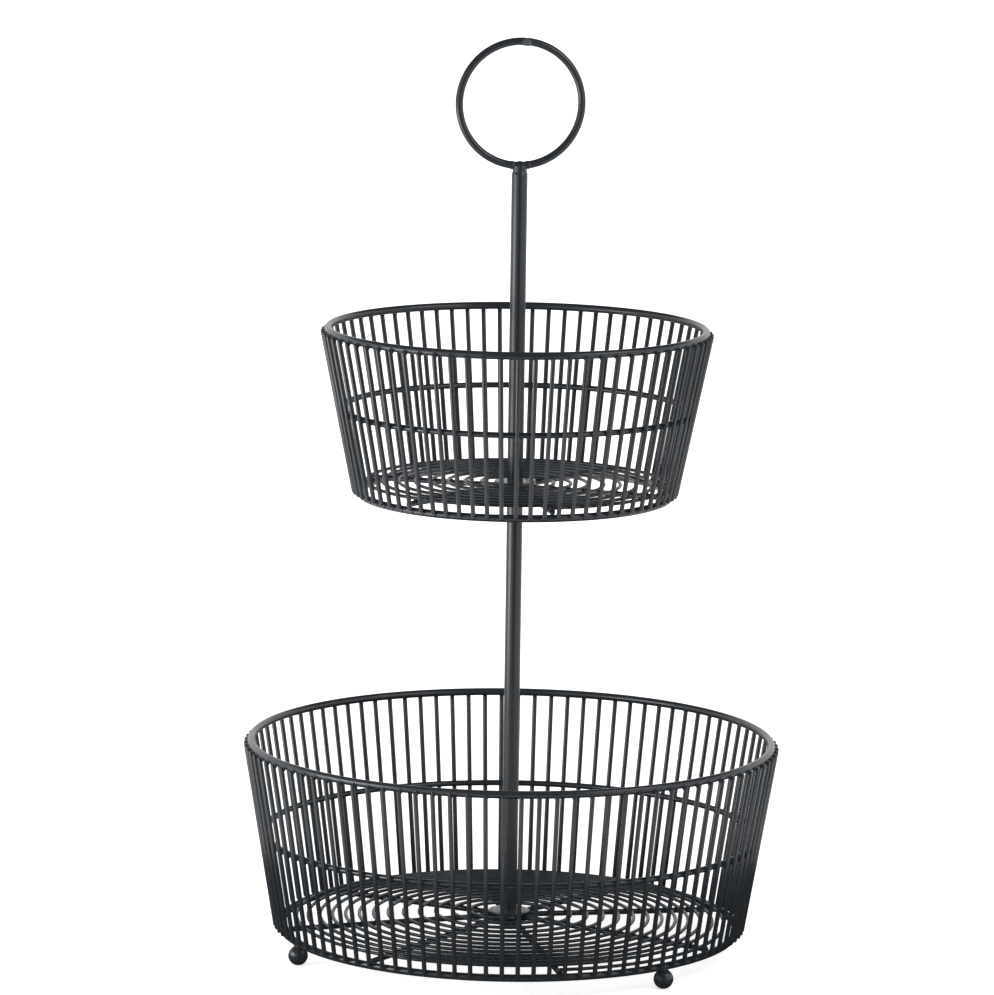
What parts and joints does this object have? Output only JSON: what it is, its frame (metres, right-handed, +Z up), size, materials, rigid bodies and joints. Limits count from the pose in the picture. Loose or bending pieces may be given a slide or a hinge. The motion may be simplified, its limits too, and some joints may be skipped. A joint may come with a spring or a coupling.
{
  "type": "tiered wire basket",
  "caption": "Free-standing tiered wire basket: a wide and a narrow round basket of upright wires with spiral floors, on a centre post with a ring handle and ball feet.",
  "frame": {"origin": "on the floor, on the axis of the centre post", "axes": "+Z up along the post, -Y towards the front, +X to the right seen from the front"},
  "size_m": [0.3016, 0.3016, 0.5148],
  "materials": {
    "black_powder_coat": "satin",
    "zinc_plated_steel": "plated"
  },
  "bodies": {
    "root": {"lower_rim_ring": "black_powder_coat", "lower_mid_ring": "black_powder_coat", "lower_base_ring": "black_powder_coat", "lower_wall_wires": "black_powder_coat", "lower_floor_coil": "black_powder_coat", "lower_floor_spokes": "black_powder_coat", "lower_hub_plate": "black_powder_coat", "lower_hub_washer": "black_powder_coat", "base_screw": "zinc_plated_steel", "upper_rim_ring": "black_powder_coat", "upper_mid_ring": "black_powder_coat", "upper_base_ring": "black_powder_coat", "upper_wall_wires": "black_powder_coat", "upper_floor_coil": "black_powder_coat", "upper_floor_spokes": "black_powder_coat", "upper_hub_plate": "black_powder_coat", "upper_hub_washer": "black_powder_coat", "lower_post": "black_powder_coat", "upper_post": "black_powder_coat", "lower_post_foot_insert": "zinc_plated_steel", "lower_post_top_insert": "zinc_plated_steel", "upper_post_foot_insert": "zinc_plated_steel", "joining_stud": "zinc_plated_steel", "handle_saddle": "black_powder_coat", "handle_ring": "black_powder_coat", "foot_ball_left": "black_powder_coat", "foot_ball_right": "black_powder_coat", "foot_ball_back": "black_powder_coat"}
  },
  "joints": []
}
